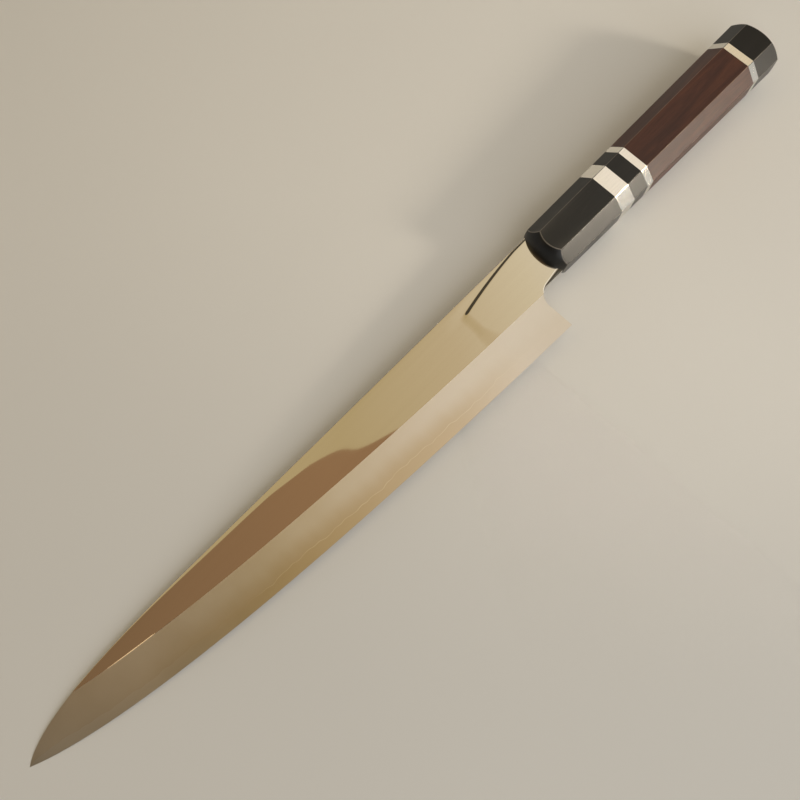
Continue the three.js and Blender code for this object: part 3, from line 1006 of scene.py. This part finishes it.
mirror, tree, shader = new_finish("mirror_flat")
broad, fine = add_streaks(tree, along=14.0, across=500.0, wander=0.3)
tone = ramp(tree, broad, (0.3, (0.653, 0.612, 0.550)), (0.7, (0.667, 0.628, 0.566)))
dress(tree, shader, tone, spanned(tree, fine, 0.02, 0.04), Metallic=1.0)
relief(tree, shader, fine, strength=0.005, depth=0.00001)

# %% Stone bevel and core strip


def stone_finish(name, seam_from, seam_to, rough):
    """A stone-polished steel. The haze thins towards the edge, so the tone slides
    from pale to warm over a centimetre, and the seam of the two steels is a thin paler
    line between two distances from it. Both show where the stones have worked most."""
    finish, tree, shader = new_finish(name)
    _, fine = add_streaks(tree, along=60.0, across=500.0, wander=1.0)
    veil = clouds(tree, 45.0)
    pale = ramp(tree, veil, (0.3, (0.72, 0.67, 0.60)), (0.7, (0.76, 0.71, 0.64)))
    warm = ramp(tree, veil, (0.3, (0.60, 0.505, 0.365)), (0.7, (0.64, 0.535, 0.395)))
    gap, worked = mark(tree, "above_line"), mark(tree, "worked")
    thinned = wire(tree, "ShaderNodeMapRange", {"interpolation_type": "SMOOTHSTEP"}, Value=gap,
                   From_Min=-1.0, From_Max=9.5, To_Min=1.0, To_Max=0.0).outputs["Result"]
    seam = wire(tree, "ShaderNodeMapRange", Value=gap, From_Min=seam_from, From_Max=seam_to,
                To_Min=0.0, To_Max=0.9).outputs["Result"]
    patchy = product(tree, worked, spanned(tree, clouds(tree, 220.0), 0.0, 1.2))
    tone = mixed(tree, product(tree, thinned, worked), pale, warm)
    tone = mixed(tree, product(tree, seam, patchy), tone, SEAM_TONE)
    dress(tree, shader, tone, spanned(tree, veil, *rough), Metallic=1.0)
    relief(tree, shader, fine, strength=0.06, depth=0.00002)
    return finish


haze = stone_finish("stone_bevel", 0.25, 0.0, (0.30, 0.40))
strip_finish = stone_finish("core_strip", -0.15, 0.0, (0.28, 0.36))

for layer in (cladding_left, cladding_right):
    layer.data.materials.append(mirror)
    layer.data.materials.append(haze)
core.data.materials.append(strip_finish)
print("steel finishes:", mirror.name, haze.name, strip_finish.name)

# %% [markdown]
# ## Ring metal
#
# The rings are nickel silver, a pale warm metal. They are rubbed down together
# with the horn and polished, so fine lines run along the handle under the shine.

# %% Nickel silver
nickel, tree, shader = new_finish("polished_nickel_silver")
broad, fine = add_streaks(tree, along=120.0, across=1500.0, wander=0.4)
tone = ramp(tree, broad, (0.3, (0.77, 0.74, 0.67)), (0.7, (0.81, 0.78, 0.71)))
dress(tree, shader, tone, spanned(tree, fine, 0.06, 0.10), Metallic=1.0)
relief(tree, shader, fine, strength=0.015, depth=0.00002)
for piece in (front_ring, middle_ring, rear_ring):
    piece.data.materials.append(nickel)
print("rings:", nickel.name)

# %% [markdown]
# ## Horn
#
# Black buffalo horn isn't quite black. Polished, it shows faint brown and grey
# streaks along its growth, and slow clouds in the gloss where it was buffed.

# %% Black horn
HANDLE_IOR = 1.45

horn, tree, shader = new_finish("black_horn")
broad, fine = add_streaks(tree, along=30.0, across=220.0, wander=1.2)
growth = ramp(tree, broad, (0.35, (0.005, 0.0045, 0.004)), (0.60, (0.007, 0.006, 0.0055)),
              (0.78, (0.014, 0.011, 0.009)))
# Pale creases and rims: partly wear, partly a painted highlight.
tone = wear_and_painted_highlight(tree, growth, paler=(0.30, 0.27, 0.235), most=0.8)
buff = clouds(tree, 90.0)
dress(tree, shader, tone, spanned(tree, buff, 0.24, 0.36), IOR=HANDLE_IOR)
relief(tree, shader, fine, strength=0.04, depth=0.00003)
for piece in (ferrule, spacer, end_cap):
    piece.data.materials.append(horn)
print("horn pieces:", horn.name)

# %% [markdown]
# ## Wood
#
# The body is a dense dark red-brown wood. Dark and lighter bands wander along it,
# and open pores are short fine strokes in the same direction. The pores are kept
# as relief and as a darker tone, under an oiled and buffed surface.

# %% Dark wood
wood, tree, shader = new_finish("oiled_dark_wood")
broad, fine = add_streaks(tree, along=16.0, across=190.0, wander=1.6)
bands = ramp(tree, broad, (0.28, (0.044, 0.015, 0.011)), (0.48, (0.066, 0.022, 0.014)),
             (0.62, (0.084, 0.028, 0.016)), (0.80, (0.115, 0.038, 0.019)))
_, pores = add_streaks(tree, along=70.0, across=900.0, wander=0.2)
pore = ramp(tree, pores, (0.34, (0.70, 0.66, 0.66)), (0.46, (1.0, 1.0, 1.0)))
grained = mixed(tree, 1.0, bands, pore, "MULTIPLY")
# Pale creases and rims: partly wear, partly a painted highlight.
tone = wear_and_painted_highlight(tree, grained, paler=(0.34, 0.22, 0.155), most=0.8)
dress(tree, shader, tone, spanned(tree, fine, 0.34, 0.46), IOR=HANDLE_IOR)
relief(tree, shader, pores, strength=0.10, depth=0.00004)
body.data.materials.append(wood)
print("body:", wood.name)

# %% [markdown]
# ## Inside pieces
#
# Two wooden dowels line the handle up, and a bed of dark resin holds the tang.
# They can't be seen in the finished knife, so their CAD shapes stay, but each has
# its own finish for anyone who takes the handle apart.

# %% Dowels and resin
dowel_finish, tree, shader = new_finish("plain_dowel_wood")
broad, fine = add_streaks(tree, along=25.0, across=350.0, wander=0.8)
tone = ramp(tree, broad, (0.3, (0.46, 0.31, 0.16)), (0.7, (0.62, 0.44, 0.24)))
dress(tree, shader, tone, spanned(tree, fine, 0.5, 0.7))

resin, tree, shader = new_finish("cured_resin")
veil = clouds(tree, 300.0)
tone = ramp(tree, veil, (0.3, (0.010, 0.009, 0.008)), (0.7, (0.018, 0.016, 0.014)))
dress(tree, shader, tone, spanned(tree, veil, 0.25, 0.45))

for node, finish in (("front_dowel", dowel_finish), ("rear_dowel", dowel_finish),
                     ("tang_adhesive", resin)):
    inside = frame["nodes"][node]
    inside.data.materials.clear()
    inside.data.materials.append(finish)
print("inside pieces dressed")

# %% [markdown]
# ## Camera
#
# The picture was taken from above the left face, a little beyond the edge, with
# the knife running from corner to corner. The camera is set by where it stands and
# by the two directions, in the shop frame, that run right and down in its picture.

# %% Camera
CAMERA_AT = (-132.938, -60.344, 295.452)
CAMERA_RIGHT = (0.70333, -0.70966, -0.04113)
CAMERA_DOWN = (-0.69706, -0.67719, -0.23559)
LENS, SENSOR = 33.3, 36.0

right, down = (Vector(v).normalized() for v in (CAMERA_RIGHT, CAMERA_DOWN))
forward = right.cross(down)
camera = new_object("camera", bpy.data.cameras.new("camera"))
camera.data.lens, camera.data.sensor_width = LENS, SENSOR
camera.data.clip_start = 0.01
camera.matrix_world = Matrix.Translation(Vector(to_frame(*CAMERA_AT))) @ Matrix(
    (right, -down, -forward)).transposed().to_4x4()
bpy.context.scene.camera = camera
print("camera at", [round(v, 4) for v in camera.location])

# %% [markdown]
# ## Studio
#
# The knife's weight lies ahead of the ferrule, so on a table it rests on the
# ferrule's underside and the tip. The floor is laid through those two lines.

# %% Floor
FLOOR_SIZE = 4.0
ferrule_under = -FRONT_SIZE[1]
lean = math.atan2(-ferrule_under - EDGE_HALF, -TIP_X)

floor_mesh = bpy.data.meshes.new("floor")
half = FLOOR_SIZE / 2
corners = np.array([[-half, -half, 0], [half, -half, 0], [half, half, 0], [-half, half, 0]])
fall, level = math.sin(lean), math.cos(lean)
tilt = np.array([[level, 0, fall], [0, 1, 0], [-fall, 0, level]])
laid = corners @ tilt.T + to_frame(0, 0, ferrule_under)
floor_mesh.from_pydata(laid.tolist(), [], [(0, 1, 2, 3)])
floor = new_object("floor", floor_mesh)
paper, tree, shader = new_finish("pale_floor")
tree.links.new(ramp(tree, clouds(tree, 3.0), (0.3, (0.79, 0.78, 0.76)), (0.7, (0.82, 0.81, 0.79))),
               shader.inputs["Base Color"])
shader.inputs["Roughness"].default_value = 0.9
floor_mesh.materials.append(paper)
print("floor leans", round(math.degrees(lean), 2), "degrees")

# %% [markdown]
# A mirror-polished blade shows what hangs above it, so the lamps are flat panels.
# A warm panel on the handle's side gives the bright part of the flat, and a brown
# card along the same border gives the darker part towards the tip. A pale panel
# on the edge's side lights the hazy bevel, and a small strip over the tip catches
# the eased ridge. Two low lights reach the handle's lower facets. The stronger one
# is a narrow beam, so that the blade mirrors little of it. A broad fill lights the
# floor. The room's walls are pale, so that the steel has something to mirror from
# every side, and the ceiling around the panels is darker.

# %% Lights


def softbox(name, at, aim, width, depth, radiance, colour=(1, 1, 1), turn=0.0, spread=None):
    """An area light of a given radiance: a flat lamp's power is its radiance times
    its area times pi. It looks from at to aim, turned about that line. A narrower
    spread, in degrees, gathers the same power around the line, by a factor that
    follows from half its angle h as tan h / (tan h - h)."""
    lamp = bpy.data.lights.new(name, "AREA")
    lamp.shape, lamp.size, lamp.size_y = "RECTANGLE", width, depth
    lamp.energy = radiance * width * depth * math.pi
    if spread:
        half = math.radians(spread) / 2
        lamp.spread = 2 * half
        lamp.energy *= 1 - half / math.tan(half)
    lamp.color = colour
    box = new_object(name, lamp)
    at, aim = Vector(at), Vector(aim)
    box.rotation_mode = "QUATERNION"
    box.rotation_quaternion = (aim - at).to_track_quat("-Z", "Y") @ Matrix.Rotation(
        turn, 3, "Z").to_quaternion()
    box.location = at
    return box


def graded(box, *stops):
    """Lets a lamp's colour change along its width. A stop is a distance from the
    lamp's middle, in metres, and a colour."""
    box.data.use_nodes = True
    tree = box.data.node_tree
    place = wire(tree, "ShaderNodeNewGeometry").outputs["Parametric"]
    across = wire(tree, "ShaderNodeSeparateXYZ", Vector=place).outputs["X"]
    shares = [(0.5 + at / box.data.size, colour) for at, colour in stops]
    tree.links.new(ramp(tree, across, *shares), tree.nodes["Emission"].inputs["Color"])


def toward(azimuth, elevation, distance):
    """A place seen from the ferrule in a direction: azimuth in degrees from the
    edge's side towards the butt, and elevation above the level."""
    turn, rise = math.radians(azimuth), math.radians(elevation)
    level = distance * math.cos(rise)
    return rim + [level * math.sin(turn), -level * math.cos(turn), distance * math.sin(rise)]


PANEL_HEIGHT, BEVEL_PANEL_HEIGHT, RIDGE_LIGHT_HEIGHT = 0.70, 0.73, 0.67
PANEL_SIZE, CARD_SIZE = (1.9, 0.42), (1.4, 0.20)
BEVEL_PANEL_SIZE, RIDGE_LIGHT_SIZE = (1.1, 0.45), (0.13, 0.04)
BEVEL_PANEL_AT, RIDGE_LIGHT_AT = (-0.07, -0.175), (-0.501, 0.091)
BORDER_AT, BORDER_ALONG = np.array([-0.0965, 0.1352]), np.array([0.907, -0.42])

border_across = np.array([-BORDER_ALONG[1], BORDER_ALONG[0]])
border_turn = math.atan2(BORDER_ALONG[1], BORDER_ALONG[0])


def overhead(name, at, size, turn=0.0, height=PANEL_HEIGHT, radiance=1.0, colour=(1, 1, 1)):
    """A lamp that hangs level above a place in x and y and looks straight down. Lamps
    that overlap hang at different heights, so that their light adds up."""
    hung = rim + [*at, height]
    return softbox(name, hung, hung - [0, 0, 1], *size, radiance, colour, turn)


warm_panel = overhead("warm_panel", BORDER_AT + border_across * PANEL_SIZE[1] / 2,
                      PANEL_SIZE, border_turn)
graded(warm_panel, (0.0, (0.54, 0.42, 0.21)), (0.19, (0.645, 0.52, 0.32)),
       (0.33, (0.80, 0.70, 0.50)), (0.49, (0.95, 0.87, 0.78)), (0.76, (0.72, 0.61, 0.44)))
brown_card = overhead("brown_card", BORDER_AT - border_across * CARD_SIZE[1] / 2,
                      CARD_SIZE, border_turn)
graded(brown_card, (-0.5, (0.165, 0.082, 0.03)), (-0.03, (0.31, 0.16, 0.067)))
bevel_panel = overhead("bevel_panel", BEVEL_PANEL_AT, BEVEL_PANEL_SIZE, height=BEVEL_PANEL_HEIGHT)
graded(bevel_panel, (-0.40, (0.0, 0.0, 0.0)), (-0.16, (0.36, 0.29, 0.06)),
       (0.13, (0.74, 0.80, 0.82)), (0.40, (0.30, 0.35, 0.33)))
overhead("ridge_light", RIDGE_LIGHT_AT, RIDGE_LIGHT_SIZE, height=RIDGE_LIGHT_HEIGHT,
         radiance=1.3, colour=(1, 0.75, 0.45))
softbox("facet_light", toward(azimuth=34, elevation=8, distance=0.9), aim=rim,
        width=0.46, depth=0.22, radiance=0.25)
softbox("low_light", toward(azimuth=33, elevation=17, distance=0.9), aim=rim + [0.07, 0, 0],
        width=0.3, depth=0.13, radiance=105.0, colour=(1, 0.88, 0.7), spread=14)
softbox("fill_light", at=rim + [-0.3, -1.0, 0.8], aim=rim + [-0.05, 0, 0],
        width=1.6, depth=1.2, radiance=1.35)

WALLS, CEILING = (0.36, 0.35, 0.33), (0.085, 0.072, 0.05)
WALL_TOP, CEILING_FROM = 0.36, 0.60
world = bpy.data.worlds.new("room")
bpy.context.scene.world = world
world.use_nodes = True
tree = world.node_tree
direction = wire(tree, "ShaderNodeTexCoord").outputs["Generated"]
height = wire(tree, "ShaderNodeSeparateXYZ", Vector=direction).outputs["Z"]
tree.links.new(ramp(tree, height, (WALL_TOP, WALLS), (CEILING_FROM, CEILING)),
               tree.nodes["Background"].inputs["Color"])
bpy.context.scene.view_settings.view_transform = "Standard"
print("lights set")
